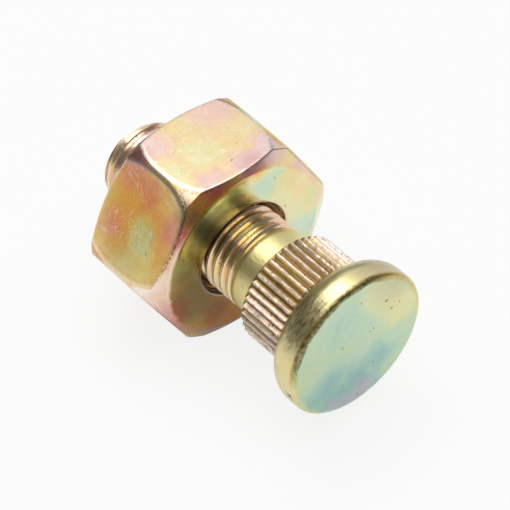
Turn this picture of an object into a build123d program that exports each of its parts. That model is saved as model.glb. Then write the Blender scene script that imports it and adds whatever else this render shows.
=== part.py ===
from build123d import *
import os
from math import cos, pi, radians, tan

# Wheel stud with its heavy hex nut run part way on.
# X runs along the stud's axis, from the head towards the threaded point; Z is up, square to a flat of the nut.
# The origin is the centre of the head's seat plane. The pair lies on one flat of the nut.
# Every length is in millimetres.

# Head: a cold-forged disc, flat outside, its rim curling under to the seat
head_diameter = 24.0
head_thickness = 6.2
head_face_round = 0.75  # tight roll at the edge of the flat outer face
head_rim_round = 3.6  # wide roll of the rim, down to the seat
least_seat_width = 0.05  # flat ring of the seat that the roll always leaves beside the knurl
least_rim_width = 0.1  # straight stretch that the two rolls always leave between them

# Knurl: straight V-shaped ribs that bite into the hub's hole
knurl_diameter = 17.6  # over the rib crests
knurl_length = 9.0
rib_count = 41
rib_height = 0.6
rib_valley_width = 0.12  # flat floor between two ribs
rib_shoulder_width = 0.4  # where the flanks meet the rounded crest
rib_crest_rise = 0.12  # how much of the height is rounded crest
rib_bevel = 0.5  # rib ends fall away at both ends of the knurl
rib_sink = 0.3  # how deep a rib is rooted in the blank
knurl_relief = 0.35  # bare root between the head and the rib ends

# Shank and thread: M14 x 1.5, drawn at its major diameter
thread_diameter = 13.8
shank_undersize = 0.15  # the plain shank is this much thinner than the thread
shank_length = 4.1  # from the knurl to the first thread
stud_length = 43.0  # under the head
point_chamfer = 1.25

# Nut
nut_across_flats = 30.0
nut_height = 15.6
bare_thread_length = 5.3  # from the first thread to the nut's clamping face
nut_corner_round = 1.1  # along the six long edges
clamp_face_inset = 1.15  # from a flat to the edge of the clamping face
back_face_inset = 0.7
nut_chamfer_angle = 28.0  # from the face
shoulder_drop = 0.9  # the corners fall short by this much where they meet the clamping chamfer
back_shoulder_drop = 0.6
full_corner_length = 1.0  # the stretch near mid-height where the corners are full
full_corner_offset = 0.3  # how far its middle lies behind the nut's own
envelope_clearance = 0.01  # keeps the turned envelope just off the long edges there
bore_clearance = 0.05  # radial, between the thread and the nut's bore
countersink_width = 1.05  # radial, from the bore to the edge of its mouth
countersink_angle = 90.0  # included

# Worked out from the sizes above
head_radius = head_diameter / 2
crest_radius = knurl_diameter / 2
root_radius = crest_radius - rib_height
thread_radius = thread_diameter / 2
shank_radius = (thread_diameter - shank_undersize) / 2
thread_start = knurl_length + shank_length
nut_place = thread_start + bare_thread_length
rim_round = min(
    head_rim_round,
    head_radius - root_radius - least_seat_width,
    head_thickness - head_face_round - least_rim_width,
)


def turned(outline):
    """A solid of revolution about the stud's axis from a closed line drawn as (x, radius)."""
    return revolve(make_face(outline), Axis.X)


def rounded(section, corner, radius):
    """The section with the corner nearest to the given point rolled off."""
    return fillet(section.vertices().sort_by_distance(corner)[0], radius)


def turned_blank():
    """Head, rib root, shank, thread and chamfered point as one turned body."""
    outline = Polyline(
        (-head_thickness, 0),
        (-head_thickness, head_radius),
        (0, head_radius),
        (0, root_radius),
        (knurl_length, root_radius),
        (knurl_length, shank_radius),
        (thread_start, shank_radius),
        (thread_start, thread_radius),
        (stud_length - point_chamfer, thread_radius),
        (stud_length, thread_radius - point_chamfer),
        (stud_length, 0),
        close=True,
    )
    section = rounded(make_face(outline), (-head_thickness, head_radius, 0), head_face_round)
    section = rounded(section, (0, head_radius, 0), rim_round)
    return revolve(section, Axis.X)


def rib_section():
    """One rib seen along the axis, standing on the root circle, with sloping flanks and a round crest."""
    foot = root_radius - rib_sink
    shoulder = crest_radius - rib_crest_rise
    root_half = pi * root_radius / rib_count - rib_valley_width / 2
    shoulder_half = rib_shoulder_width / 2
    sides = Polyline(
        (-shoulder_half, shoulder),
        (-root_half, root_radius),
        (-root_half, foot),
        (root_half, foot),
        (root_half, root_radius),
        (shoulder_half, shoulder),
    )
    crest = ThreePointArc((-shoulder_half, shoulder), (0, crest_radius), (shoulder_half, shoulder))
    return make_face(sides + crest)


def ribs():
    """The ring of ribs, trimmed by a turned envelope that bevels both of their ends."""
    ring = Sketch() + [place * rib_section() for place in PolarLocations(0, rib_count)]
    bars = extrude(Plane.YZ * ring, knurl_length)
    inside = root_radius - 2 * rib_sink
    envelope = turned(
        Polyline(
            (knurl_relief, inside),
            (knurl_relief, crest_radius - rib_bevel),
            (knurl_relief + rib_bevel, crest_radius),
            (knurl_length - rib_bevel, crest_radius),
            (knurl_length, crest_radius - rib_bevel),
            (knurl_length, inside),
            close=True,
        )
    )
    return bars & envelope


def stud():
    return turned_blank() + ribs()


def nut_envelope():
    """What the nut's faces and corners are turned to: a chamfer at each end, and corners that the
    forging die did not fill, falling away towards both faces."""
    slope = tan(radians(nut_chamfer_angle))
    flat_radius = nut_across_flats / 2
    corner = flat_radius / cos(pi / 6) - nut_corner_round * (1 / cos(pi / 6) - 1)
    front_radius, back_radius = flat_radius - clamp_face_inset, flat_radius - back_face_inset
    front_low, back_low = corner - shoulder_drop, corner - back_shoulder_drop
    front_deep = slope * (front_low - front_radius)
    back_deep = nut_height - slope * (back_low - back_radius)
    full = corner + envelope_clearance
    full_middle = nut_height / 2 + full_corner_offset
    full_from, full_to = full_middle - full_corner_length / 2, full_middle + full_corner_length / 2
    front = TangentArc((full_from, full), (front_deep, front_low), tangent=(-1, 0))
    back = TangentArc((full_to, full), (back_deep, back_low), tangent=(1, 0))
    ends = Polyline(
        (front_deep, front_low),
        (0, front_radius),
        (0, 0),
        (nut_height, 0),
        (nut_height, back_radius),
        (back_deep, back_low),
    )
    return turned(ends + front + back + Line((full_from, full), (full_to, full)))


def nut_bore():
    """The bore with a countersink at each face."""
    bore_radius = thread_radius + bore_clearance
    mouth = bore_radius + countersink_width
    depth = countersink_width / tan(radians(countersink_angle / 2))
    return turned(
        Polyline(
            (0, 0),
            (0, mouth),
            (depth, bore_radius),
            (nut_height - depth, bore_radius),
            (nut_height, mouth),
            (nut_height, 0),
            close=True,
        )
    )


def nut():
    hexagon = RegularPolygon(nut_across_flats / 2, 6, major_radius=False)
    prism = extrude(Plane.YZ * hexagon, nut_height)
    prism = fillet(prism.edges().filter_by(Axis.X), nut_corner_round)
    return Pos(nut_place, 0, 0) * ((prism & nut_envelope()) - nut_bore())


os.makedirs("parts", exist_ok=True)
export_step(stud(), "parts/stud.step")
export_step(nut(), "parts/nut.step")
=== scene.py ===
from math import cos, pi, radians, sin, tan

import bmesh
import bpy
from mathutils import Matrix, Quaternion, Vector


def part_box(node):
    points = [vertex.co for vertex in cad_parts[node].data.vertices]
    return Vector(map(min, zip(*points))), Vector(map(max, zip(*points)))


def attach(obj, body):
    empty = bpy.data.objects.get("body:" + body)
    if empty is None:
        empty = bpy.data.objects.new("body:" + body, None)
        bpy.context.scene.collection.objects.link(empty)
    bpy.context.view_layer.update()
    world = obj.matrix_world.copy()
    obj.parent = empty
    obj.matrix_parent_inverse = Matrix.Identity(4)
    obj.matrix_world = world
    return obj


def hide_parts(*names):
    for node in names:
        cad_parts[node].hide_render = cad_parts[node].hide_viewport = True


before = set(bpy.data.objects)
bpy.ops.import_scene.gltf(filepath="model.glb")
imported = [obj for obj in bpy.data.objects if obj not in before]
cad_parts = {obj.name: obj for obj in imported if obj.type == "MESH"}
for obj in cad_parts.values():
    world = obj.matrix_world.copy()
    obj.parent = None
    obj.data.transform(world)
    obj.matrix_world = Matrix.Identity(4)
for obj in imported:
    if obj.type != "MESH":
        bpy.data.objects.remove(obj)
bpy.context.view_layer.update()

# Everything is drawn in millimetres and brought to metres with this
mm = 0.001
toMm = 1 / mm

# The main sizes come from the frame
studLow, studHigh = (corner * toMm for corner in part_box("stud"))
nutLow, nutHigh = (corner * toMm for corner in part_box("nut"))
headRadius = studHigh.z
headThickness = -studLow.x
studLength = studHigh.x
nutPlace = nutLow.x
nutHeight = nutHigh.x - nutLow.x
acrossFlats = nutHigh.z - nutLow.z
print("frame loaded")


def addNode(tree, kind, inputs=None, **settings):
    node = tree.nodes.new(kind)
    for key, value in settings.items():
        setattr(node, key, value)
    for key, value in (inputs or {}).items():
        if isinstance(value, bpy.types.NodeSocket):
            tree.links.new(value, node.inputs[key])
        else:
            node.inputs[key].default_value = value
    return node


def calc(tree, operation, *values, clamp=False):
    node = addNode(tree, "ShaderNodeMath", dict(enumerate(values)), operation=operation, use_clamp=clamp)
    return node.outputs[0]


def times(tree, *values):
    result = values[0]
    for value in values[1:]:
        result = calc(tree, "MULTIPLY", result, value)
    return result


def total(tree, values):
    result = values[0]
    for value in values[1:]:
        result = calc(tree, "ADD", result, value)
    return result


def between(tree, mask, least, most):
    # least where the mask is 0, most where it is 1
    return calc(tree, "MULTIPLY_ADD", mask, most - least, least)


def vectorCalc(tree, operation, *values, output=0):
    return addNode(tree, "ShaderNodeVectorMath", dict(enumerate(values)), operation=operation).outputs[output]


def scaled(tree, vector, factor):
    return addNode(tree, "ShaderNodeVectorMath", {0: vector, "Scale": factor}, operation="SCALE").outputs[0]


def joinXyz(tree, x, y, z):
    return addNode(tree, "ShaderNodeCombineXYZ", {0: x, 1: y, 2: z}).outputs[0]


def splitXyz(tree, vector):
    return addNode(tree, "ShaderNodeSeparateXYZ", {0: vector}).outputs


def axisDistance(tree, y, z):
    return vectorCalc(tree, "LENGTH", joinXyz(tree, 0.0, y, z), output="Value")


def ramp(tree, value, low, high):
    # 0 at low, 1 at high, smooth between them; low may be the larger
    inputs = {"Value": value, "From Min": low, "From Max": high, "To Min": 0.0, "To Max": 1.0}
    return addNode(tree, "ShaderNodeMapRange", inputs, interpolation_type="SMOOTHSTEP").outputs[0]


def noise(tree, position, scale, detail=2.0, output="Fac"):
    inputs = {"Vector": position, "Scale": scale, "Detail": detail, "Roughness": 0.5}
    return addNode(tree, "ShaderNodeTexNoise", inputs).outputs[output]


def swing(tree, position, scale, size, detail=2.0):
    # noise about zero, from -size to size at the most
    return times(tree, calc(tree, "SUBTRACT", noise(tree, position, scale, detail), 0.5), size * 2)


def swingVector(tree, position, scale):
    # the same in three directions, from -0.5 to 0.5
    return vectorCalc(tree, "SUBTRACT", noise(tree, position, scale, output="Color"), (0.5, 0.5, 0.5))


def blend(tree, share, first, second):
    # mixes two colours; a share of 0 gives the first
    first, second = (c if isinstance(c, bpy.types.NodeSocket) else (*c, 1) for c in (first, second))
    return addNode(tree, "ShaderNodeMix", {0: share, 6: first, 7: second}, data_type="RGBA").outputs[2]


def arc(x, radius, size, start, end, steps):
    # part of a turned outline: a round about (x, radius), angles in degrees from +X outwards
    turn = [radians(start + (end - start) * step / steps) for step in range(steps + 1)]
    return [(x + size * cos(angle), radius + size * sin(angle)) for angle in turn]


def run(start, end, steps):
    # evenly spaced points from start up to, but without, end
    return [tuple(a + (b - a) * step / steps for a, b in zip(start, end)) for step in range(steps)]


def turnedPiece(name, outline, segments):
    # outline holds (x, radius) points; a radius of zero is a pole, and an outline without poles is closed
    build = bmesh.new()
    rings = []
    for x, radius in outline:
        spots = range(segments) if radius > 0 else range(1)
        turn = [2 * pi * spot / segments for spot in spots]
        rings.append([build.verts.new(Vector((x, radius * cos(a), radius * sin(a))) * mm) for a in turn])
    pairs = list(zip(rings, rings[1:]))
    if outline[0][1] > 0:
        pairs.append((rings[-1], rings[0]))
    for near, far in pairs:
        for spot in range(segments):
            following = (spot + 1) % segments
            corners = [near[spot % len(near)], far[spot % len(far)],
                       far[following % len(far)], near[following % len(near)]]
            build.faces.new(dict.fromkeys(corners))  # a pole comes twice and is kept once
    bmesh.ops.recalc_face_normals(build, faces=build.faces)
    mesh = bpy.data.meshes.new(name)
    build.to_mesh(mesh)
    build.free()
    piece = bpy.data.objects.new(name, mesh)
    bpy.context.scene.collection.objects.link(piece)
    return piece


def newGeometryTree(name, sizes):
    # a Geometry Nodes tree with one named input for each size; returns the tree and its inputs
    tree = bpy.data.node_groups.new(name, "GeometryNodeTree")
    tree.interface.new_socket(name="Geometry", in_out="OUTPUT", socket_type="NodeSocketGeometry")
    tree.interface.new_socket(name="Geometry", in_out="INPUT", socket_type="NodeSocketGeometry")
    for key, value in sizes.items():
        kind = {int: "NodeSocketInt", float: "NodeSocketFloat"}.get(type(value), "NodeSocketMaterial")
        tree.interface.new_socket(name=key, in_out="INPUT", socket_type=kind)
    return tree, addNode(tree, "NodeGroupInput").outputs


def sectionCurve(tree, corners):
    # a closed outline through the corners, for a sweep
    line = addNode(tree, "GeometryNodeMeshLine", {"Count": len(corners), "Offset": (0, 0, 0)}, mode="OFFSET")
    pick = addNode(tree, "GeometryNodeIndexSwitch", data_type="VECTOR")
    while len(pick.index_switch_items) < len(corners):
        pick.index_switch_items.new()
    tree.links.new(addNode(tree, "GeometryNodeInputIndex").outputs[0], pick.inputs[0])
    for place, corner in enumerate(corners):
        tree.links.new(joinXyz(tree, *corner, 0.0), pick.inputs[place + 1])
    placed = addNode(tree, "GeometryNodeSetPosition", {0: line.outputs[0], "Position": pick.outputs[0]})
    curve = addNode(tree, "GeometryNodeMeshToCurve", {0: placed.outputs[0]})
    return addNode(tree, "GeometryNodeSetSplineCyclic", {0: curve.outputs[0], "Cyclic": True}).outputs[0]


def finished(tree, given, made):
    # realizes what the tree made and gives it its finish
    solid = addNode(tree, "GeometryNodeRealizeInstances", {0: made})
    inputs = {"Geometry": solid.outputs[0], "Material": given["Finish"]}
    return addNode(tree, "GeometryNodeSetMaterial", inputs).outputs[0]


def addToPiece(tree, given, made):
    # joins what the tree made to the turned piece
    joined = addNode(tree, "GeometryNodeJoinGeometry")
    tree.links.new(finished(tree, given, made), joined.inputs[0])
    tree.links.new(given["Geometry"], joined.inputs[0])
    addNode(tree, "NodeGroupOutput", {0: joined.outputs[0]})


def runTree(piece, tree, sizes):
    modifier = piece.modifiers.new(tree.name, "NODES")
    modifier.node_group = tree
    for socket in tree.interface.items_tree:
        if socket.in_out == "INPUT" and socket.name in sizes:
            modifier[socket.identifier] = sizes[socket.name]


def finishMesh(piece, sharpAngle):
    # the evaluated result becomes the piece's own plain mesh, and its modifiers go
    scene = bpy.context.evaluated_depsgraph_get()
    made = bpy.data.meshes.new_from_object(piece.evaluated_get(scene))
    made.name = piece.name
    piece.modifiers.clear()
    piece.data = made
    made.polygons.foreach_set("use_smooth", [True] * len(made.polygons))
    made.set_sharp_from_angle(angle=radians(sharpAngle))
    print(f"{piece.name}: {sum(len(face.vertices) - 2 for face in made.polygons)} triangles")


stud = dict(
    segments=240,
    sharpAngle=38,
    faceRound=0.75,
    faceRings=(0, 2.5, 5.0, 7.5, 9.5),
    lastFaceRing=0.4,  # inside the edge's round
    rimRound=3.6,
    rimEnd=4,  # in degrees from the seat
    knurlLength=9.0,
    ribRoot=8.2,
    reliefDepth=0.12,
    reliefLength=0.35,
    reliefEdge=0.06,
    reliefSlope=0.12,
    stepEdge=0.02,
    shankRadius=6.825,
    shankFillet=0.3,
    shankRing=0.1,  # past the fillet
    threadStart=13.1,
    threadRadius=6.9,
    threadRoot=6.02,
    runOut=2.2,
    pointChamfer=1.25,
    pointEdge=0.08,
    pointRing=0.05,  # inside the point's edge
    endRings=(4.0, 2.0, 0),
)


def studOutline(v):
    face = [(-headThickness, r) for r in (*v["faceRings"], headRadius - v["faceRound"] - v["lastFaceRing"])]
    edge = arc(-headThickness + v["faceRound"], headRadius - v["faceRound"], v["faceRound"], 180, 90, 10)
    rim = arc(-v["rimRound"], headRadius - v["rimRound"], v["rimRound"], 90, v["rimEnd"], 26)
    root, floor = v["ribRoot"], v["ribRoot"] - v["reliefDepth"]
    reliefEnd = v["reliefLength"] + v["reliefSlope"]
    relief = [(0.0, root + v["reliefEdge"]), (v["reliefEdge"], floor)]
    relief += [(v["reliefLength"], floor), (reliefEnd, root)]
    knurlFloor = run((reliefEnd + v["stepEdge"] * 4, root), (v["knurlLength"], root), 24)
    step = [(v["knurlLength"] - v["stepEdge"], root), (v["knurlLength"], root - v["stepEdge"])]
    fillet, shankRadius = v["shankFillet"], v["shankRadius"]
    filletEnd = v["knurlLength"] + fillet
    shoulder = arc(filletEnd, shankRadius + fillet, fillet, 180, 270, 6)
    shank = run((filletEnd + v["shankRing"], shankRadius), (v["threadStart"], shankRadius), 8)
    runOutEnd = v["threadStart"] + v["runOut"]
    runOut = run((v["threadStart"], shankRadius), (runOutEnd, v["threadRoot"]), 6)
    coneStart = studLength - v["pointChamfer"] + (v["threadRadius"] - v["threadRoot"])
    core = run((runOutEnd, v["threadRoot"]), (coneStart, v["threadRoot"]), 24)
    pointRadius, pointEdge = v["threadRadius"] - v["pointChamfer"], v["pointEdge"]
    point = [(coneStart, v["threadRoot"]), (studLength - pointEdge, pointRadius + pointEdge),
             (studLength, pointRadius - v["pointRing"])] + [(studLength, r) for r in v["endRings"]]
    return face + edge + rim + relief + knurlFloor + step + shoulder + shank + runOut + core + point


wheelStud = turnedPiece("wheelStud", studOutline(stud), stud["segments"])
print("stud turned")

ribs = {
    "Count": 41,
    "First Angle": radians(66.8),
    "Root Radius": stud["ribRoot"] * mm,
    "Height": 0.6 * mm,
    "Foot Width": 1.24 * mm,
    "Crest Width": 0.19 * mm,
    "Sink": 0.3 * mm,
    "Start": 0.4 * mm,
    "End": 9.0 * mm,
    "Head End Round": 0.7 * mm,
    "Thread End Bevel": 0.5 * mm,
    "Burr": 0.12 * mm,
}

ribShape = dict(
    shoulderHeight=0.86,  # of the rib's height
    shoulderHalf=0.9,  # of the crest's width
    sunkLean=0.6,  # how much wider the sunk foot gets, of its depth
    pathPoints=110,
    leastHeadEnd=0.2,  # of the full section, so that the ends never close to a point
    leastThreadEnd=0.1,
    bruiseStretch=(1500.0, 2400.0, 2400.0),  # patterns per metre
    leanShift=(31.0, 7.0, 11.0),
)


def ribTree(sizes, shape):
    tree, given = newGeometryTree("knurlRibs", sizes)

    # the section of one rib, X outwards and Y across, with its foot sunk into the blank
    top, foot = given["Height"], times(tree, given["Sink"], -1.0)
    nearTop = times(tree, top, shape["shoulderHeight"])
    halfCrest = times(tree, given["Crest Width"], 0.5)
    halfBack = times(tree, given["Crest Width"], shape["shoulderHalf"])
    halfFoot = times(tree, given["Foot Width"], 0.5)
    lowHalf = calc(tree, "ADD", halfFoot, times(tree, given["Sink"], shape["sunkLean"]))
    lowLeft, backLeft, crestLeft = [times(tree, half, -1.0) for half in (lowHalf, halfBack, halfCrest)]
    section = sectionCurve(tree, [(foot, lowLeft), (nearTop, backLeft), (top, crestLeft),
                                  (top, halfCrest), (nearTop, halfBack), (foot, lowHalf)])

    # its path, and how it falls away at both ends
    start = joinXyz(tree, given["Start"], given["Root Radius"], 0.0)
    end = joinXyz(tree, given["End"], given["Root Radius"], 0.0)
    line = addNode(tree, "GeometryNodeCurvePrimitiveLine", {"Start": start, "End": end})
    path = addNode(tree, "GeometryNodeResampleCurve", {0: line.outputs[0], "Count": shape["pathPoints"]})
    facing = {"Curve": path.outputs[0], "Normal": (0, 1, 0)}
    outward = addNode(tree, "GeometryNodeSetCurveNormal", facing, mode="FREE")
    along = addNode(tree, "GeometryNodeSplineParameter").outputs["Length"]
    left = calc(tree, "SUBTRACT", calc(tree, "SUBTRACT", given["End"], given["Start"]), along)
    toHead = calc(tree, "SUBTRACT", 1.0, calc(tree, "DIVIDE", along, given["Head End Round"], clamp=True))
    headEnd = calc(tree, "SQRT", calc(tree, "SUBTRACT", 1.0, times(tree, toHead, toHead)))
    headEnd = between(tree, headEnd, shape["leastHeadEnd"], 1.0)
    threadEnd = calc(tree, "DIVIDE", left, given["Thread End Bevel"], clamp=True)
    threadEnd = between(tree, threadEnd, shape["leastThreadEnd"], 1.0)
    rib = addNode(tree, "GeometryNodeCurveToMesh", {"Curve": outward.outputs[0], "Profile Curve": section,
                  "Scale": calc(tree, "MINIMUM", headEnd, threadEnd), "Fill Caps": True})

    # all of them, round the axis
    spots = addNode(tree, "GeometryNodeMeshLine", {"Count": given["Count"], "Offset": (0, 0, 0)},
                    mode="OFFSET")
    index = addNode(tree, "GeometryNodeInputIndex").outputs[0]
    step = calc(tree, "DIVIDE", 2 * pi, given["Count"])
    angle = calc(tree, "ADD", times(tree, index, step), given["First Angle"])
    turn = addNode(tree, "FunctionNodeEulerToRotation", {0: joinXyz(tree, angle, 0.0, 0.0)})
    copies = {"Points": spots.outputs[0], "Instance": rib.outputs[0], "Rotation": turn.outputs[0]}
    ring = addNode(tree, "GeometryNodeInstanceOnPoints", copies)
    solid = addNode(tree, "GeometryNodeRealizeInstances", {0: ring.outputs[0]})

    # crests are bruised and torn a little, no two alike
    position = addNode(tree, "GeometryNodeInputPosition").outputs[0]
    stretched = vectorCalc(tree, "MULTIPLY", position, shape["bruiseStretch"])
    fromAxis = vectorCalc(tree, "MULTIPLY", position, (0.0, 1.0, 1.0))
    away = vectorCalc(tree, "NORMALIZE", fromAxis)
    across = vectorCalc(tree, "CROSS_PRODUCT", away, (1, 0, 0))
    radius = vectorCalc(tree, "LENGTH", fromAxis, output="Value")
    height = calc(tree, "SUBTRACT", radius, given["Root Radius"])
    worn = times(tree, calc(tree, "DIVIDE", height, given["Height"], clamp=True), given["Burr"])
    lift = times(tree, swing(tree, stretched, 1.0, 1.2, 4.0), worn)
    shifted = vectorCalc(tree, "ADD", stretched, shape["leanShift"])
    lean = times(tree, swing(tree, shifted, 0.6, 0.8), worn)
    bruise = vectorCalc(tree, "ADD", scaled(tree, away, lift), scaled(tree, across, lean))
    bruised = addNode(tree, "GeometryNodeSetPosition", {"Geometry": solid.outputs[0], "Offset": bruise})
    addToPiece(tree, given, bruised.outputs[0])
    return tree


threadShape = dict(
    stepsPerTurn=96.0,
    flankAngle=30,
    sink=0.15 * mm,
    crestEasing=0.3,  # of half the crest's width
    leastSize=0.1,  # of the full section, where the thread fades out
)


def threadTree(name, sizes, shape):
    # a ridge swept along a helix about X; a negative depth turns it inwards, for a bore
    tree, given = newGeometryTree(name, sizes)
    depth = given["Depth"]
    side = calc(tree, "SIGN", depth)
    halfCrest = times(tree, given["Crest Width"], 0.5)
    halfSeam = times(tree, given["Seam Width"], 0.5)
    lean = times(tree, calc(tree, "ABSOLUTE", depth), tan(radians(shape["flankAngle"])))
    halfRoot = calc(tree, "ADD", halfCrest, lean)
    sunk = times(tree, side, -shape["sink"])
    easing = times(tree, halfCrest, shape["crestEasing"])
    shoulderX = calc(tree, "SUBTRACT", depth, times(tree, side, easing))
    shoulderY = calc(tree, "ADD", halfCrest, times(tree, easing, 0.5))
    topY = calc(tree, "SUBTRACT", halfCrest, times(tree, easing, 0.5))
    seam = calc(tree, "SUBTRACT", depth, times(tree, side, given["Seam Depth"]))
    half = [(sunk, halfRoot), (shoulderX, shoulderY), (depth, topY), (depth, halfSeam)]
    mirrored = [(x, times(tree, y, -1.0)) for x, y in half]
    section = sectionCurve(tree, mirrored + [(seam, 0.0)] + half[::-1])

    turns = calc(tree, "DIVIDE", calc(tree, "SUBTRACT", given["End"], given["Start"]), given["Pitch"])
    line = addNode(tree, "GeometryNodeCurvePrimitiveLine", {"End": (1, 0, 0)})
    points = addNode(tree, "FunctionNodeFloatToInt", {0: times(tree, turns, shape["stepsPerTurn"])})
    path = addNode(tree, "GeometryNodeResampleCurve", {"Curve": line.outputs[0], "Count": points.outputs[0]})
    turned = times(tree, addNode(tree, "GeometryNodeSplineParameter").outputs["Factor"], turns)
    angle = calc(tree, "MULTIPLY_ADD", turned, 2 * pi, given["Start Angle"])
    outward = joinXyz(tree, 0.0, calc(tree, "COSINE", angle), calc(tree, "SINE", angle))
    x = calc(tree, "MULTIPLY_ADD", turned, given["Pitch"], given["Start"])
    spot = vectorCalc(tree, "ADD", scaled(tree, outward, given["Root Radius"]), joinXyz(tree, x, 0.0, 0.0))
    helix = addNode(tree, "GeometryNodeSetPosition", {"Geometry": path.outputs[0], "Position": spot})
    facing = {"Curve": helix.outputs[0], "Normal": outward}
    normal = addNode(tree, "GeometryNodeSetCurveNormal", facing, mode="FREE")
    past, left = calc(tree, "SUBTRACT", x, given["Start"]), calc(tree, "SUBTRACT", given["End"], x)
    fadeIn = calc(tree, "DIVIDE", past, given["Start Fade"], clamp=True)
    fadeOut = calc(tree, "DIVIDE", left, given["End Fade"], clamp=True)
    size = between(tree, calc(tree, "MINIMUM", fadeIn, fadeOut), shape["leastSize"], 1.0)
    ridge = addNode(tree, "GeometryNodeCurveToMesh", {"Curve": normal.outputs[0], "Profile Curve": section,
                    "Scale": size, "Fill Caps": True})
    addToPiece(tree, given, ridge.outputs[0])
    return tree


pitch = 1.5
threadFrom = 12.6
crestAngle, crestPlace = 78.8, 14.45  # a crest of the stud's thread passes here
studThread = {
    "Start": threadFrom * mm,
    "End": 42.9 * mm,
    "Start Angle": radians(crestAngle + (threadFrom - crestPlace) / pitch * 360),
    "Pitch": pitch * mm,
    "Root Radius": stud["threadRoot"] * mm,
    "Depth": (stud["threadRadius"] - stud["threadRoot"]) * mm,
    "Crest Width": 0.5 * mm,
    "Seam Width": 0.13 * mm,
    "Seam Depth": 0.12 * mm,
    "Start Fade": 0.8 * mm,
    "End Fade": 1.5 * mm,
}

nut = dict(
    segments=480,
    sharpAngle=50,
    faceInset=1.15,
    backInset=0.7,
    chamferAngle=28.0,
    cornerRound=1.1,
    shoulderDrop=0.9,
    backShoulderDrop=0.6,
    fullLength=1.0,
    fullOffset=0.3,
    boreRadius=7.6,
    mouthRadius=8.0,
    mouthLip=0.05,
    mouthRoll=0.04,
    countersink=0.6,
    edgeRoll=0.03,
    edgeRings=(0.1, 0.08, 0.02),  # extra rings beside the edge of each face, two inside and one outside
)

hexagon = {
    "Across Flats": acrossFlats * mm,
    "Corner Round": nut["cornerRound"] * mm,
    "Edge Round": 0.28 * mm,
    "Burr": 0.07 * mm,
    "Burr Reach": 0.9 * mm,
}

nutThread = {
    "Start": (nutPlace + 0.45) * mm,
    "End": (nutPlace + nutHeight - 0.3) * mm,
    "Start Angle": 0.0,
    "Pitch": pitch * mm,
    "Root Radius": nut["boreRadius"] * mm,
    "Depth": -0.63 * mm,
    "Crest Width": 0.3 * mm,
    "Seam Width": 0.02 * mm,
    "Seam Depth": 0.0,
    "Start Fade": 0.7 * mm,
    "End Fade": 0.7 * mm,
}


def shoulder(start, startRadius, end, endRadius, steps):
    # the corners fall away: flat at (start, startRadius), steepest at (end, endRadius)
    shares = [step / steps for step in range(steps + 1)]
    return [(start + (end - start) * s, startRadius + (endRadius - startRadius) * s * s) for s in shares]


def nutOutline(v):
    flat = acrossFlats / 2
    corner = flat / cos(pi / 6) - v["cornerRound"] * (1 / cos(pi / 6) - 1)
    slope = tan(radians(v["chamferAngle"]))
    face, back = flat - v["faceInset"], flat - v["backInset"]
    frontLow, backLow = corner - v["shoulderDrop"], corner - v["backShoulderDrop"]
    frontDeep, backDeep = slope * (frontLow - face), nutHeight - slope * (backLow - back)
    middle = nutHeight / 2 + v["fullOffset"]
    fullFrom, fullTo = middle - v["fullLength"] / 2, middle + v["fullLength"] / 2
    mouth, bore, lip = v["mouthRadius"], v["boreRadius"], v["mouthRadius"] + v["mouthLip"]
    depth, mouthRoll = v["countersink"], v["mouthRoll"]
    roll, rolledBack = v["edgeRoll"], nutHeight - v["edgeRoll"]
    inner, near, past = v["edgeRings"]
    front = run((0, lip), (0, face - inner), 12) + [(0.0, face - near), (roll, face + past)]
    chamfer = run((roll, face + near), (frontDeep, frontLow), 22)
    sides = shoulder(fullFrom, corner, frontDeep, frontLow, 36)[::-1]
    sides += shoulder(fullTo, corner, backDeep, backLow, 34)
    backChamfer = run((backDeep, backLow), (rolledBack, back + near), 18)[1:]
    rear = [(rolledBack, back + past), (nutHeight, back - near)]
    rear += run((nutHeight, back - inner), (nutHeight, lip), 8)
    backMouth = [(nutHeight, lip), (nutHeight - mouthRoll, mouth)]
    inside = run((nutHeight - depth, bore), (depth, bore), 16) + [(depth, bore), (mouthRoll, mouth)]
    outline = front + chamfer + sides + backChamfer + rear + backMouth + inside
    return [(nutPlace + x, radius) for x, radius in outline]


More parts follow.
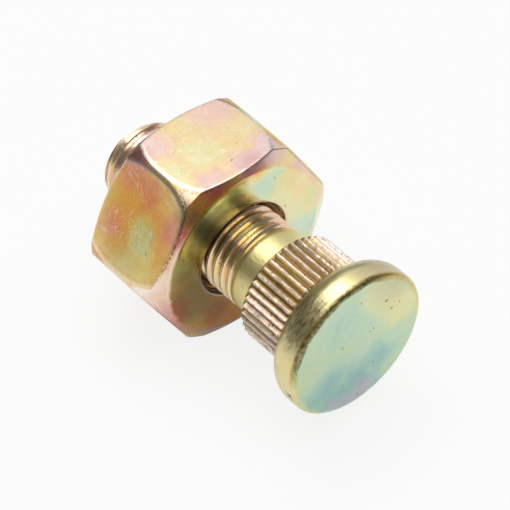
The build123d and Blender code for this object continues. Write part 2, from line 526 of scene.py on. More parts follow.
def hexTree(sizes):
    # presses six flats into the turned blank, with rolled corners and a soft edge beside the turned part
    tree, given = newGeometryTree("hexPress", sizes)
    cornerRound = given["Corner Round"]
    position = addNode(tree, "GeometryNodeInputPosition").outputs[0]
    x, y, z = splitXyz(tree, position)
    radius = axisDistance(tree, y, z)
    turn = calc(tree, "ADD", calc(tree, "ARCTAN2", z, y), 2 * pi)
    angle = calc(tree, "PINGPONG", turn, pi / 6)  # from a corner
    half = times(tree, given["Across Flats"], 0.5)
    flat = calc(tree, "DIVIDE", half, calc(tree, "COSINE", calc(tree, "SUBTRACT", pi / 6, angle)))

    # each corner is a round about a point on its own radius, and the flats go on where it ends
    rollCentre = calc(tree, "DIVIDE", calc(tree, "SUBTRACT", half, cornerRound), cos(pi / 6))
    rollEnd = calc(tree, "ARCTAN2", times(tree, cornerRound, sin(pi / 6)),
                   calc(tree, "MULTIPLY_ADD", cornerRound, cos(pi / 6), rollCentre))
    sideways = times(tree, rollCentre, calc(tree, "SINE", angle))
    reach = calc(tree, "SUBTRACT", calc(tree, "POWER", cornerRound, 2.0), calc(tree, "POWER", sideways, 2.0))
    reach = calc(tree, "SQRT", calc(tree, "MAXIMUM", reach, 0.0))
    roll = calc(tree, "MULTIPLY_ADD", rollCentre, calc(tree, "COSINE", angle), reach)
    inRoll = calc(tree, "LESS_THAN", angle, rollEnd)
    onFlat = calc(tree, "SUBTRACT", 1.0, inRoll)
    hexagonAt = calc(tree, "ADD", times(tree, roll, inRoll), times(tree, flat, onFlat))

    # a torn burr runs along the edge of each flat
    inside = calc(tree, "SUBTRACT", radius, hexagonAt)
    near = ramp(tree, calc(tree, "ABSOLUTE", inside), given["Burr Reach"], 0.0)
    torn = calc(tree, "SUBTRACT", swing(tree, position, 1100.0, 0.5, 3.0), 0.25)
    tear = times(tree, torn, times(tree, near, given["Burr"]))
    clipped = calc(tree, "SMOOTH_MIN", radius, calc(tree, "ADD", hexagonAt, tear), given["Edge Round"])
    factor = calc(tree, "DIVIDE", clipped, radius)
    moved = joinXyz(tree, x, times(tree, y, factor), times(tree, z, factor))
    kept = addNode(tree, "GeometryNodeStoreNamedAttribute", {"Geometry": given["Geometry"], "Name": "pressed",
                   "Value": times(tree, inside, toMm)})
    shaped = addNode(tree, "GeometryNodeSetPosition", {"Geometry": kept.outputs[0], "Position": moved})
    addNode(tree, "NodeGroupOutput", {0: finished(tree, given, shaped.outputs[0])})
    return tree


hexNut = turnedPiece("hexNut", nutOutline(nut), nut["segments"])
print("nut blank turned")

# What all five finishes share; scales are in patterns per millimetre
zinc = dict(
    filmColours=[  # the chromate film runs through these as it gets thicker
        (0.00, (0.40, 0.38, 0.44)),  # lilac
        (0.09, (0.31, 0.56, 0.53)),  # turquoise
        (0.18, (0.53, 0.73, 0.53)),  # mint
        (0.32, (0.76, 0.78, 0.37)),  # yellow green
        (0.46, (0.88, 0.74, 0.34)),  # straw
        (0.60, (0.92, 0.66, 0.27)),  # gold
        (0.72, (0.92, 0.61, 0.36)),  # peach
        (0.85, (0.91, 0.55, 0.43)),  # rose
        (1.00, (0.84, 0.60, 0.58)),  # violet
    ],
    bare=(0.93, 0.88, 0.78),
    # the colour that both real dirt and painted shade darken towards
    grimeAndShade=(0.07, 0.048, 0.018),
    leastDepth=0.3,
    driftScale=0.35,
    cloudScale=0.16,
    mottleScale=0.6,
    depthScale=0.23,
    wearScale=4.0,
    wearSize=0.16,
    stainCore=0.25,  # where a stain or blotch is full, of its radius
    ruggedScale=2.5,
    ruggedShare=2.5,  # how ragged a blotch is, of its radius
    ruggedMost=2.0,
    rubScale=0.13,
    rubbed=(0.35, 0.6),
    rubbedOnEnds=0.3,
    markEdge=(0.2, 0.08),  # where a scratch or speck starts and is full, of its cell
    markDrift=0.2,
    unrollRadius=15.0,
    speck=(65, 2.4, 0.5),  # turn, cell length and cell width
    speckDark=0.7,
    roughScale=0.8,
    dirtAndShadeRoughness=0.2,
    dirtAndShadeDepth=0.02,
    grainScale=6.0,
    dentScale=0.5,
    drawStretch=(0.25, 2.6, 2.6),
    coatRoughness=0.2,
    coatIor=1.8,
)

# Stains are (middle in mm, radius in mm, film change, depth change), dark spots and painted shade (middle,
# radius, share), rubs (middle, radius) and scratches (turn in degrees, cell length, cell width, share of
# cells)
studLook = dict(
    film=0.43, cloud=0.05, mottle=0.03, depth=1.0, depthCloud=0.15, drift=2.5,
    stains=[
        ((-6.2, 5, -6.5), 8, -0.1, 0.0),  # turquoise
        ((-6.2, -2.5, -6), 6, -0.08, 0.0),
        ((-6.2, -5.5, -4), 4, -0.04, 0.0),
        ((-6.2, 3, 6), 6, -0.03, 0.0),
        ((-6.2, 4, -11.5), 4.5, -0.13, -0.3),  # lilac
        ((-6.2, -1, -11.5), 5, -0.16, -0.3),
        ((-6.2, -5.5, 8), 6, 0.17, -0.1),  # yellow
        ((-6.2, -8, 2.5), 5, 0.16, -0.1),
        ((-6.2, 9, -1), 4, 0.05, 0.0),
        ((-3, -7, 9), 9, -0.04, -0.2),  # rim
    ],
    darkSpotsAndShade=[
        ((-6.2, -5.3, 5.5), 0.35, 1),
        ((-6.2, -6.4, 3.3), 0.28, 1),
        ((-6.2, -3.1, -5.7), 0.2, 0.8),
        ((-6.2, 2.6, -6.7), 0.18, 0.8),
        ((-5.1, 11.5, -2.9), 0.8, 1),
        # painted shade on the upper right of the rim
        ((-2, -7, 9), 8, 0.35),
    ],
    rubs=[], scratches=[(90, 2.5, 0.35, 0.3), (30, 2.0, 0.3, 0.2)], scratchPale=0.3, specks=0.018,
    roughness=0.31, roughChange=0.06, grain=0.006, dents=0.02, drawMarks=0.035, coat=0.5,
)
ribLook = dict(
    film=0.77, cloud=0.16, mottle=0.1, depth=0.85, depthCloud=0.25, drift=2.0,
    stains=[((4, 4, 8), 3.5, -0.14, 0.2), ((6, 8, 3), 3, 0.08, 0.0), ((5, -7, 5), 5.5, 0.34, 0.0)],
    darkSpotsAndShade=[((5, 5.5, 6.8), 1.2, 0.35)],
    rubs=[], scratches=[(0, 3.0, 0.3, 0.4)], scratchPale=0.3, specks=0.24,
    roughness=0.36, roughChange=0.1, grain=0.025, dents=0.01, drawMarks=0.01, coat=0.25,
)
threadLook = dict(
    film=0.66, cloud=0.1, mottle=0.08, depth=0.85, depthCloud=0.2, drift=2.0,
    stains=[((16, -5, 5), 6, 0.1, 0.3), ((14, 0, 7), 3, -0.1, -0.1), ((15, 6, -2), 5, -0.1, 0.0)],
    darkSpotsAndShade=[],
    rubs=[], scratches=[(90, 4.0, 0.25, 0.3)], scratchPale=0.3, specks=0.12,
    roughness=0.18, roughChange=0.06, grain=0.006, dents=0.01, drawMarks=0.0, coat=0.5,
)
# the bore's one large blotch is painted shade over the whole hole
boreLook = dict(threadLook, film=0.55, depth=2.4, stains=[], darkSpotsAndShade=[((26, 0, 0), 60, 0.6)])
nutLook = dict(
    film=0.6, cloud=0.1, mottle=0.05, depth=0.75, depthCloud=0.12, drift=3.0,
    stains=[
        ((26, 14, 7), 11, 0.04, 1.6),  # left flat
        ((24.9, 13.6, 6.6), 4.4, -0.22, -0.8),
        ((22, 15, 4), 3.5, -0.05, 0.0),
        ((31.5, 10, 13), 5, 0.2, 0.8),
        ((26.5, 10.5, 12), 3.5, 0.16, 0.5),
        ((31, 14.5, 5.5), 3.5, 0.2, -0.1),
        ((22.8, 15.3, 3.2), 5, -0.13, -0.7),
        ((27, 16, 2.2), 4, -0.08, -0.5),
        ((19.5, 11.6, 9.9), 3.5, 0.2, 0.3),
        ((25.8, 1.2, 15), 4.5, -0.18, 0.0),  # top flat
        ((24.5, 7.2, 15), 3, -0.18, 0.0),
        ((20, 3.8, 15), 3.5, 0.3, 0.0),
        ((19.8, -2, 15), 4, 0.3, 0.0),
        ((20.5, -7, 15), 4.5, 0.38, 0.0),
        ((31.5, 6.7, 15), 5, 0.32, 0.0),
        ((32, -5, 15), 6, 0.26, 0.0),
        ((19.3, -8.2, 13), 3.5, -0.28, 0.0),  # chamfer, right of the top
        ((19.3, -2.5, 14.5), 3, 0.1, 0.6),
        ((18.4, -4.2, 10.6), 5, -0.14, 0.1),  # clamp face
        ((18.4, -8.7, 9.2), 4, 0.15, 0.2),
        ((18.4, -12.3, 1), 3, 0.1, 0.1),
        ((18.4, -11, 5), 3.5, 0.2, 0.0),
        ((18.4, -11, -2.5), 4.5, -0.15, 0.0),
        # painted dark reflection: the deeper film on the clamp face's left stands in for the stud and its
        # shadow mirrored there
        ((18.4, 10, -3), 11, 0.1, 2.4),
        ((18.4, 4, -12), 8, 0.22, 2.2),
        ((18.4, 5.5, 9.5), 7, -0.14, 0.5),
        ((20.5, -15.5, -3), 5, -0.3, -0.3),  # right corner
        ((29, -12, 9), 6, 0.14, 0.6),  # the flats on the far side and below
        ((22, -14, 4), 7, -0.18, 0.2),
        ((32, -13.5, 2.5), 5, -0.12, 0.5),
        ((23.5, -13, -7), 7, 0.14, 0.8),
        ((31, -12, -9), 6, -0.16, 0.2),
        ((26, 1, -15), 7, 0.14, 0.9),
        ((21.5, -5, -15), 6, -0.18, 0.0),
        ((32, 5, -15), 6, -0.14, 0.4),
        ((28, 12.5, -8), 7, -0.16, 0.5),
        ((20, 13.5, -5.5), 5, 0.16, 0.7),
        ((33, 11, -11), 5, 0.14, 0.6),
        ((34, 9, 7), 9, -0.12, 0.2),  # back face
        ((34, -10, 4), 8, 0.22, 0.5),
        ((34, -4, -11), 8, -0.12, 0.0),
        ((34, 7, -10), 6, 0.14, 0.2),
    ],
    darkSpotsAndShade=[
        ((24, -3.5, 15), 0.15, 0.9),
        ((27, -4.5, 15), 0.12, 0.9),
        ((24.7, 13.4, 7), 4, 0.12),
        # painted dark reflection of the stud and its shadow on the clamp face
        ((18.3, 6, 8), 7, 0.6),
        ((18.3, 9, -4), 10, 0.68),
        ((18.3, 3, -12), 7, 0.5),
        # painted shade that dims the highlight where the top and left flats meet the chamfer
        ((19.5, 9.3, 12.2), 2.5, 0.38),
        ((27, 15.6, 2.5), 5, 0.12),
        # painted dark reflection on the clamp face's left
        ((18.3, 11, 3.5), 4, 0.3),
    ],
    rubs=[((30, 3, 15), 6), ((26, -5.5, 15), 4), ((24.5, 14, 6), 5)],
    scratches=[(82, 9.0, 0.3, 0.2), (60, 6.0, 0.3, 0.2), (15, 8.0, 0.3, 0.2), (130, 3.0, 0.25, 0.25),
               (40, 2.0, 0.25, 0.25), (100, 1.8, 0.22, 0.25)],
    scratchPale=0.65, specks=0.012,
    roughness=0.24, roughChange=0.05, grain=0.006, dents=0.01, drawMarks=0.0, coat=0.4,
)


def spotMask(tree, place, middle, radius):
    away = vectorCalc(tree, "DISTANCE", place, middle, output="Value")
    return ramp(tree, away, radius, radius * zinc["stainCore"])


def strokeMask(tree, sheet, turn, length, width, share):
    # thin marks on the surface's own two directions; a share of the cells has one
    cellShape = {"Vector": sheet, "Rotation": (0, 0, radians(turn)), "Scale": (length, width, 1)}
    stretched = addNode(tree, "ShaderNodeMapping", cellShape, vector_type="TEXTURE").outputs[0]
    pattern = {"Vector": stretched, "Scale": 1.0}
    cells = addNode(tree, "ShaderNodeTexVoronoi", pattern, voronoi_dimensions="2D")
    chosen = calc(tree, "LESS_THAN", splitXyz(tree, cells.outputs["Color"])[0], share)
    return times(tree, ramp(tree, cells.outputs["Distance"], *zinc["markEdge"]), chosen)


def surfaceSheet(tree, place, flatEnd):
    # unrolled round X on the sides, plain Y and Z on faces square to X
    x, y, z = splitXyz(tree, place)
    side = joinXyz(tree, x, times(tree, calc(tree, "ARCTAN2", z, y), zinc["unrollRadius"]), 0.0)
    end = joinXyz(tree, y, z, 0.0)
    onSide = scaled(tree, side, calc(tree, "SUBTRACT", 1.0, flatEnd))
    return vectorCalc(tree, "ADD", onSide, scaled(tree, end, flatEnd))


def tint(tree, layers, mask, **shares):
    # adds a zone to the layers that it changes, each by its own share
    for layer, share in shares.items():
        layers[layer].append(times(tree, mask, share))


def zincFinish(name, look, region=None):
    # yellow zinc: film colours by noise and by listed stains, then scratches, specks, grain and dents
    material = bpy.data.materials.new(name)
    material.use_nodes = True
    tree = material.node_tree
    shader = tree.nodes["Principled BSDF"]
    place = scaled(tree, addNode(tree, "ShaderNodeTexCoord").outputs["Object"], toMm)
    drift = swingVector(tree, place, zinc["driftScale"])
    warped = vectorCalc(tree, "ADD", place, scaled(tree, drift, look["drift"]))
    cloud = swing(tree, warped, zinc["cloudScale"], look["cloud"])
    mottle = swing(tree, warped, zinc["mottleScale"], look["mottle"], 3.0)
    layers = {
        "film": [look["film"], cloud, mottle],
        "depth": [look["depth"], swing(tree, warped, zinc["depthScale"], look["depthCloud"])],
        "pale": [swing(tree, place, zinc["wearScale"], zinc["wearSize"], 3.0)],
        "dark": [0.0],
        "gloss": [0.0],
    }
    for middle, radius, filmChange, depthChange in look["stains"]:
        tint(tree, layers, spotMask(tree, warped, middle, radius), film=filmChange, depth=depthChange)
    jitter = swingVector(tree, place, zinc["ruggedScale"])
    for middle, radius, share in look["darkSpotsAndShade"]:
        reach = min(radius * zinc["ruggedShare"], zinc["ruggedMost"])
        rugged = vectorCalc(tree, "ADD", place, scaled(tree, jitter, reach))
        tint(tree, layers, spotMask(tree, rugged, middle, radius), dark=share)
    flatEnd = region(tree, place, layers) if region else 0.0

    drifted = vectorCalc(tree, "ADD", place, scaled(tree, drift, zinc["markDrift"]))
    sheet = surfaceSheet(tree, drifted, flatEnd)
    rubbed = ramp(tree, noise(tree, place, zinc["rubScale"]), *zinc["rubbed"])
    rubbed = times(tree, rubbed, between(tree, flatEnd, 1.0, zinc["rubbedOnEnds"]))
    for middle, radius in look["rubs"]:
        rubbed = calc(tree, "MAXIMUM", rubbed, spotMask(tree, place, middle, radius))
    for scratch in look["scratches"]:
        tint(tree, layers, times(tree, strokeMask(tree, sheet, *scratch), rubbed), pale=look["scratchPale"])
    tint(tree, layers, strokeMask(tree, sheet, *zinc["speck"], look["specks"]), dark=zinc["speckDark"])

    filmTint = addNode(tree, "ShaderNodeValToRGB", {0: total(tree, layers["film"])})
    colours = filmTint.color_ramp
    for spot, colour in zinc["filmColours"][1:-1]:
        colours.elements.new(spot)
    for stop, (spot, colour) in zip(colours.elements, zinc["filmColours"]):
        stop.position = spot
        stop.color = (*colour, 1)
    power = calc(tree, "MAXIMUM", total(tree, layers["depth"]), zinc["leastDepth"])
    deep = addNode(tree, "ShaderNodeGamma", {0: filmTint.outputs[0], 1: power}).outputs[0]
    worn = blend(tree, calc(tree, "ADD", total(tree, layers["pale"]), 0.0, clamp=True), deep, zinc["bare"])
    # the dark layer holds real specks and dirt, and also painted shade and painted dark reflections from the
    # regions and blotches
    dirtAndShade = total(tree, layers["dark"])
    dirtiedAndShaded = blend(tree, calc(tree, "ADD", dirtAndShade, 0.0, clamp=True), worn, zinc["grimeAndShade"])
    tree.links.new(dirtiedAndShaded, shader.inputs["Base Color"])

    uneven = swing(tree, warped, zinc["roughScale"], look["roughChange"], 3.0)
    polish = times(tree, total(tree, layers["gloss"]), -1.0)
    rough = total(tree, [look["roughness"], uneven, times(tree, dirtAndShade, zinc["dirtAndShadeRoughness"]), polish])
    tree.links.new(rough, shader.inputs["Roughness"])
    grain = times(tree, noise(tree, place, zinc["grainScale"], 3.0), look["grain"])
    dents = times(tree, noise(tree, warped, zinc["dentScale"]), look["dents"])
    lengthways = vectorCalc(tree, "MULTIPLY", warped, zinc["drawStretch"])
    drawn = times(tree, noise(tree, lengthways, 1.0, 3.0), look["drawMarks"])
    relief = total(tree, [grain, dents, drawn, times(tree, dirtAndShade, -zinc["dirtAndShadeDepth"])])
    bump = addNode(tree, "ShaderNodeBump", {"Height": relief, "Strength": 1.0, "Distance": mm})
    tree.links.new(bump.outputs[0], shader.inputs["Normal"])
    shader.inputs["Metallic"].default_value = 1.0
    shader.inputs["Coat Weight"].default_value = look["coat"]
    shader.inputs["Coat Roughness"].default_value = zinc["coatRoughness"]
    shader.inputs["Coat IOR"].default_value = zinc["coatIor"]
    print(f"{name} mixed")
    return material


# In the zones, a pair is where the zone starts and where it is full, in mm, or from 0 to 1 for a noise, and a
# spot is (middle, radius)
studZones = dict(
    face=(-6.0, -6.15),  # along X
    ring=(-5.2, -5.9),
    rimFrom=(-5.9, -5.0),
    rimTo=(0.3, -1.0),
    valleysFrom=(0.1, 0.4),
    valleysTo=(9.05, 8.95),
    seatFrom=(-0.9, -0.1),
    seatTo=(0.6, 0.1),
    shankFrom=(9.05, 9.3),
    shankTo=(14.0, 13.4),
    threadEnd=(33.0, 34.0),
    endFace=(studLength - 0.3, studLength - 0.1),
    faceRadius=(11.9, 11.0),
    ringRadius=(10.9, 11.4),
    ringUp=(-2.0, 5.0),  # along Z
    ringLeft=(-7.0, -1.0),  # along Y
    ringNoise=(0.3, 0.7),
    streakNoise=(0.35, 0.65),
    streakStretch=(4.0, 0.9, 0.9),
    rimShadeSpot=((-3.4, 7.8, 8.6), 7),
)


def studRegion(tree, place, layers):
    zone = studZones
    x, y, z = splitXyz(tree, place)
    uneven = calc(tree, "ADD", axisDistance(tree, y, z), swing(tree, place, 0.5, 0.6, 3.0))

    # the head's face is greener than its rim; along the face's upper edge the film is browner, and on its
    # upper left a broken line of painted dark reflection
    face = ramp(tree, x, *zone["face"])
    tint(tree, layers, times(tree, face, ramp(tree, uneven, *zone["faceRadius"])), film=-0.22)
    ring = times(tree, ramp(tree, uneven, *zone["ringRadius"]), ramp(tree, x, *zone["ring"]))
    ring = times(tree, ring, ramp(tree, z, *zone["ringUp"]))
    broken = between(tree, ramp(tree, noise(tree, place, 1.6, 5.0), *zone["ringNoise"]), 0.45, 0.95)
    ringShade = times(tree, ring, ramp(tree, y, *zone["ringLeft"]), broken)
    tint(tree, layers, ring, depth=0.7)
    layers["dark"].append(ringShade)

    # the rim's upper left gets painted dark reflection, laid on in streaks
    rim = times(tree, ramp(tree, x, *zone["rimFrom"]), ramp(tree, x, *zone["rimTo"]))
    streaks = noise(tree, vectorCalc(tree, "MULTIPLY", place, zone["streakStretch"]), 1.0, 6.0)
    drawn = between(tree, ramp(tree, streaks, *zone["streakNoise"]), 0.45, 1.0)
    shade = between(tree, spotMask(tree, place, *zone["rimShadeSpot"]), 0.05, 0.85)
    layers["dark"].append(times(tree, rim, times(tree, drawn, shade)))

    # painted shade between the ribs, with a browner film there, and where the head meets them
    valleyShade = times(tree, ramp(tree, x, *zone["valleysFrom"]), ramp(tree, x, *zone["valleysTo"]))
    tint(tree, layers, valleyShade, film=0.2, depth=0.6, dark=0.6)
    seatShade = times(tree, ramp(tree, x, *zone["seatFrom"]), ramp(tree, x, *zone["seatTo"]))
    tint(tree, layers, seatShade, dark=0.35)
    shank = times(tree, ramp(tree, x, *zone["shankFrom"]), ramp(tree, x, *zone["shankTo"]))
    tint(tree, layers, shank, depth=0.12, gloss=-0.08)
    tint(tree, layers, ramp(tree, x, *zone["threadEnd"]), film=0.2)
    return calc(tree, "ADD", face, ramp(tree, x, *zone["endFace"]))


ribZones = dict(
    crest=(8.56, 8.7),  # by radius
    flank=(8.66, 8.54),
    valley=(8.45, 8.2),
    rosyFlanks=((5, 8.5, -1), 7),
    threadEnd=(8.3, 8.85),  # along X
    headEnd=(1.0, 0.45),
)


def ribRegion(tree, place, layers):
    # crests are rubbed pale; flanks, valleys and both ends get painted shade, the flanks a goldener film too
    zone = ribZones
    x, y, z = splitXyz(tree, place)
    radius = axisDistance(tree, y, z)
    height = calc(tree, "ADD", radius, swing(tree, place, 3.0, 0.12, 4.0))
    crest = ramp(tree, height, *zone["crest"])
    rubbed = calc(tree, "ADD", swing(tree, place, 1.1, 0.5, 4.0), 0.68)
    layers["pale"].append(times(tree, crest, rubbed))
    tint(tree, layers, crest, gloss=-0.16)
    flank = times(tree, ramp(tree, height, *zone["flank"]),
                  between(tree, spotMask(tree, place, *zone["rosyFlanks"]), 1.0, 0.3))
    tint(tree, layers, flank, film=-0.14, depth=0.25, dark=0.3)
    tint(tree, layers, ramp(tree, radius, *zone["valley"]), dark=0.45)
    endShade = calc(tree, "MAXIMUM", ramp(tree, x, *zone["threadEnd"]), ramp(tree, x, *zone["headEnd"]))
    tint(tree, layers, endShade, dark=0.3, film=-0.15)
    return 0.0


threadZones = dict(
    crest=(6.72, 6.84),  # by radius
    root=(6.35, 6.05),
    end=(33.0, 34.0),  # along X
)


def threadRegion(tree, place, layers):
    # rubbed crests, painted shade in the roots and a paler end
    x, y, z = splitXyz(tree, place)
    radius = axisDistance(tree, y, z)
    tint(tree, layers, ramp(tree, radius, *threadZones["crest"]), pale=0.4)
    layers["pale"].append(0.06)
    # painted shade in the thread's roots
    tint(tree, layers, ramp(tree, radius, *threadZones["root"]), dark=0.35)
    tint(tree, layers, ramp(tree, x, *threadZones["end"]), film=0.15, depth=-0.2)
    return 0.0


nutZones = dict(
    turned=(0.0, -0.3),  # outside the flats
    edgeFrom=(-0.12, 0.02),
    edgeTo=(0.28, 0.12),
    burrFrom=(-0.5, -0.35),
    burrTo=(-0.02, -0.15),
    burrNoise=(0.42, 0.55),
    faceRadius=(14.2, 13.5),
    backRadius=(14.6, 13.9),
    faceEdgeFrom=(13.5, 13.8),
    faceEdgeTo=(14.4, 14.1),
    lipFrom=(8.3, 8.12),
    lipTo=(7.9, 8.02),
    boreRadius=(8.0, 7.85),
    burrDepth=(4.5, 3.0),  # along X, from the clamp face
    faceDepth=(0.8, 0.3),
    backDepth=(nutHeight - 0.5, nutHeight - 0.1),
    chamferDepth=(1.5, 1.1),
    topCornerDepth=(3.5, 6.0),
    farDepth=(1.2, 2.4),
    burrLeft=(-4.0, 4.0),  # along Y
    overTopLeft=(0.5, 5.0),
    farRight=(-7.8, -8.5),
    burrUp=(1.0, 3.0),  # along Z
    burrTop=(13.2, 14.0),
    overTopUp=(7.0, 11.0),
    farUp=(12.0, 13.5),
    lowDown=(-9.0, -12.0),
    notch=((19.3, 0, 14), 6),
    paintedLightChamfer=((19.5, 16, -1.5), 11),
    edgeHighlightSpot=((18.4, 13, 4), 9),
)


def nutRegion(tree, place, layers):
    # flats with their worn edge, partly a painted highlight, and torn burr with painted shadow beside it;
    # pinker chamfers and corners, a greener clamp face
    zone = nutZones
    pressed = addNode(tree, "ShaderNodeAttribute", attribute_name="pressed").outputs["Fac"]
    x, y, z = splitXyz(tree, place)
    radius = axisDistance(tree, y, z)
    inward = calc(tree, "SUBTRACT", x, nutPlace)

    ragged = calc(tree, "ADD", pressed, swing(tree, place, 3.2, 0.32, 4.0))
    # the worn edge is paler, partly as a painted highlight
    edge = times(tree, ramp(tree, ragged, *zone["edgeFrom"]), ramp(tree, ragged, *zone["edgeTo"]))
    tint(tree, layers, edge, pale=0.4)
    # painted shadow along the torn burr, patchy, on the flats near the clamp face
    burrShadow = times(tree, ramp(tree, ragged, *zone["burrFrom"]), ramp(tree, ragged, *zone["burrTo"]))
    patchy = times(tree, ramp(tree, noise(tree, place, 4.5, 4.0), *zone["burrNoise"]),
                   between(tree, ramp(tree, y, *zone["burrLeft"]), 0.4, 0.85))
    front = times(tree, ramp(tree, inward, *zone["burrDepth"]), ramp(tree, z, *zone["burrUp"]),
                  between(tree, ramp(tree, z, *zone["burrTop"]), 1.0, 0.5))
    layers["dark"].append(times(tree, burrShadow, patchy, front))

    # the two faces, and what is turned but isn't a face
    turned = ramp(tree, pressed, *zone["turned"])
    wavy = calc(tree, "ADD", radius, swing(tree, place, 0.8, 0.4))
    face = times(tree, turned, ramp(tree, wavy, *zone["faceRadius"]), ramp(tree, inward, *zone["faceDepth"]))
    back = times(tree, turned, ramp(tree, wavy, *zone["backRadius"]), ramp(tree, inward, *zone["backDepth"]))
    rounded = calc(tree, "SUBTRACT", calc(tree, "SUBTRACT", turned, face), back)
    tint(tree, layers, rounded, film=0.14)
    tint(tree, layers, face, film=-0.24, gloss=0.14)
    tint(tree, layers, back, film=-0.15)

    # the chamfer is browner over the top, partly film and partly painted dark reflection, paler at the left
    # as a painted reflection of the lit floor, and greener down below with painted shade
    chamfer = times(tree, rounded, ramp(tree, inward, *zone["chamferDepth"]))
    overTop = times(tree, chamfer, ramp(tree, z, *zone["overTopUp"]), ramp(tree, y, *zone["overTopLeft"]))
    tint(tree, layers, overTop, depth=2.0, film=-0.08, dark=0.15)
    tint(tree, layers, times(tree, chamfer, spotMask(tree, place, *zone["notch"])), film=-0.1, depth=0.9)
    paintedLightChamfer = times(tree, rounded, spotMask(tree, place, *zone["paintedLightChamfer"]))
    tint(tree, layers, paintedLightChamfer, depth=-1.45, dark=-0.7, pale=0.22)
    low = times(tree, chamfer, ramp(tree, z, *zone["lowDown"]))
    tint(tree, layers, low, film=-0.35, dark=0.3)

    # corners, and the strip that shows beyond the top flat
    corner = calc(tree, "SUBTRACT", rounded, chamfer)
    topCorner = times(tree, corner, ramp(tree, inward, *zone["topCornerDepth"]))
    tint(tree, layers, topCorner, film=-0.1, depth=1.2, dark=0.2)
    farSide = times(tree, ramp(tree, y, *zone["farRight"]), ramp(tree, inward, *zone["farDepth"]),
                    ramp(tree, z, *zone["farUp"]), ramp(tree, back, 0.5, 0.0))
    tint(tree, layers, farSide, film=-0.28, depth=0.7)

    # painted highlights on the edges of the clamp face and of its countersink, and painted shade in the bore
    faceEdgeHighlight = times(tree, ramp(tree, wavy, *zone["faceEdgeFrom"]), ramp(tree, wavy, *zone["faceEdgeTo"]))
    faceEdgeHighlight = times(tree, faceEdgeHighlight, spotMask(tree, place, *zone["edgeHighlightSpot"]))
    tint(tree, layers, times(tree, turned, faceEdgeHighlight), pale=0.4)
    lip = times(tree, ramp(tree, radius, *zone["lipFrom"]), ramp(tree, radius, *zone["lipTo"]))
    tint(tree, layers, times(tree, turned, lip), pale=0.5)
    bore = times(tree, face, ramp(tree, radius, *zone["boreRadius"]))
    tint(tree, layers, bore, film=0.3, depth=1.2, dark=0.5)
    return calc(tree, "ADD", face, back)


ribs["Finish"] = zincFinish("ribFinish", ribLook, ribRegion)
studThread["Finish"] = zincFinish("threadFinish", threadLook, threadRegion)
nutThread["Finish"] = zincFinish("boreFinish", boreLook)
hexagon["Finish"] = zincFinish("nutFinish", nutLook, nutRegion)

wheelStud.data.materials.append(zincFinish("studFinish", studLook, studRegion))
runTree(wheelStud, ribTree(ribs, ribShape), ribs)
runTree(wheelStud, threadTree("studThread", studThread, threadShape), studThread)
finishMesh(wheelStud, stud["sharpAngle"])
runTree(hexNut, hexTree(hexagon), hexagon)
runTree(hexNut, threadTree("nutThread", nutThread, threadShape), nutThread)
finishMesh(hexNut, nut["sharpAngle"])

for piece, body in ((wheelStud, "stud"), (hexNut, "nut")):
    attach(piece, body)
    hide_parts(body)
print("pieces on their bodies")

studio = dict(
    worldGrey=0.18,
    floorSize=3.0,  # in metres, from the middle to a side
    floorGap=0.05,
    floorWhite=0.95,
    seenGlow=0.85,
    mirroredGlow=0.4,
)

lamps = [  # name, azimuth and height of its middle in degrees, distance and sides in metres, brightness
    ("overheadBox", 0, 90, 0.85, (1.0, 1.0), 1.65),
    ("keyBox", -5, 60, 0.9, (0.54, 0.34), 2.1),
    ("sideBox", -46, 37, 1.0, (0.6, 0.55), 0.6),
    ("lowFill", -72, 12, 1.2, (0.8, 0.6), 0.6),
    ("whiteCard", 57, 3, 0.5, (0.3, 0.08), 0.4),
]


def toward(azimuth, elevation):
    # a unit vector; angles in degrees
    level, height = cos(radians(elevation)), sin(radians(elevation))
    return Vector((level * cos(radians(azimuth)), level * sin(radians(azimuth)), height))


def floorMaterial(v):
    material = bpy.data.materials.new("floorPaper")
    material.use_nodes = True
    tree = material.node_tree
    tree.nodes.clear()
    paper = addNode(tree, "ShaderNodeBsdfDiffuse", {"Color": (v["floorWhite"],) * 3 + (1,)})
    glow = addNode(tree, "ShaderNodeEmission", {"Color": (1, 1, 1, 1), "Strength": 1.0})
    rays = addNode(tree, "ShaderNodeLightPath").outputs
    mirrored = calc(tree, "MAXIMUM", rays["Is Glossy Ray"], rays["Is Transmission Ray"])
    inMirrors = times(tree, mirrored, v["mirroredGlow"])
    seen = calc(tree, "MULTIPLY_ADD", rays["Is Camera Ray"], v["seenGlow"], inMirrors)
    mix = addNode(tree, "ShaderNodeMixShader", {0: seen, 1: paper.outputs[0], 2: glow.outputs[0]})
    addNode(tree, "ShaderNodeOutputMaterial", {0: mix.outputs[0]})
    return material


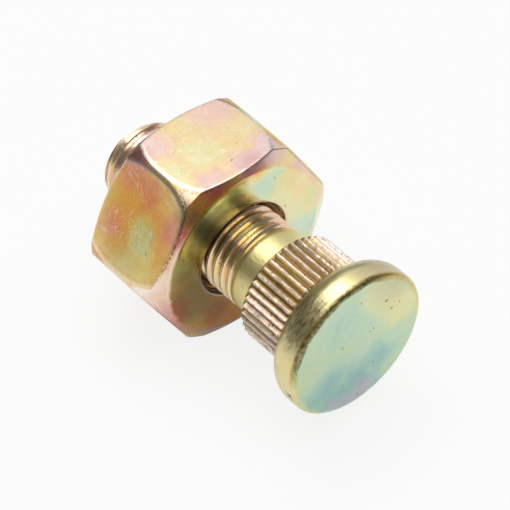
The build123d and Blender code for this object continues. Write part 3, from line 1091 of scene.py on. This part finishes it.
def makeFloor(v):
    half = v["floorSize"]
    height = (min(studLow.z, nutLow.z) - v["floorGap"]) * mm
    corners = [(x, y, height) for x, y in ((-half, -half), (half, -half), (half, half), (-half, half))]
    mesh = bpy.data.meshes.new("floor")
    mesh.from_pydata(corners, [], [(0, 1, 2, 3)])
    floor = bpy.data.objects.new("floor", mesh)
    bpy.context.scene.collection.objects.link(floor)
    mesh.materials.append(floorMaterial(v))


def makeLamp(name, azimuth, elevation, distance, sides, brightness):
    direction = toward(azimuth, elevation)
    light = bpy.data.lights.new(name, "AREA")
    light.shape = "RECTANGLE"
    light.size, light.size_y = sides
    light.energy = brightness * pi * sides[0] * sides[1]
    lamp = bpy.data.objects.new(name, light)
    bpy.context.scene.collection.objects.link(lamp)
    lamp.location = direction * distance
    lamp.rotation_mode = "QUATERNION"
    lamp.rotation_quaternion = direction.to_track_quat("Z", "Y")
    lamp.visible_camera = False


camera = dict(
    aim=(11.77, 3.50, 6.43),
    distance=498.6,
    azimuth=-39.864,  # of the line of sight
    elevation=46.563,
    roll=-0.524,
    lens=249.55,
    sensorWidth=36.0,
    clip=(0.01, 50.0),  # in metres
)


def makeCamera(v):
    data = bpy.data.cameras.new("camera")
    data.lens = v["lens"]
    data.sensor_width = v["sensorWidth"]
    data.clip_start, data.clip_end = v["clip"]
    sight = toward(v["azimuth"], -v["elevation"])
    holder = bpy.data.objects.new("camera", data)
    bpy.context.scene.collection.objects.link(holder)
    holder.location = (Vector(v["aim"]) - sight * v["distance"]) * mm
    holder.rotation_mode = "QUATERNION"
    holder.rotation_quaternion = sight.to_track_quat("-Z", "Y") @ Quaternion((0, 0, 1), radians(v["roll"]))
    bpy.context.scene.camera = holder


world = bpy.data.worlds.new("room")
world.use_nodes = True
world.node_tree.nodes["Background"].inputs["Color"].default_value = (studio["worldGrey"],) * 3 + (1,)
bpy.context.scene.world = world
bpy.context.scene.view_settings.view_transform = "Standard"
makeFloor(studio)
for lamp in lamps:
    makeLamp(*lamp)
makeCamera(camera)
print("studio set")
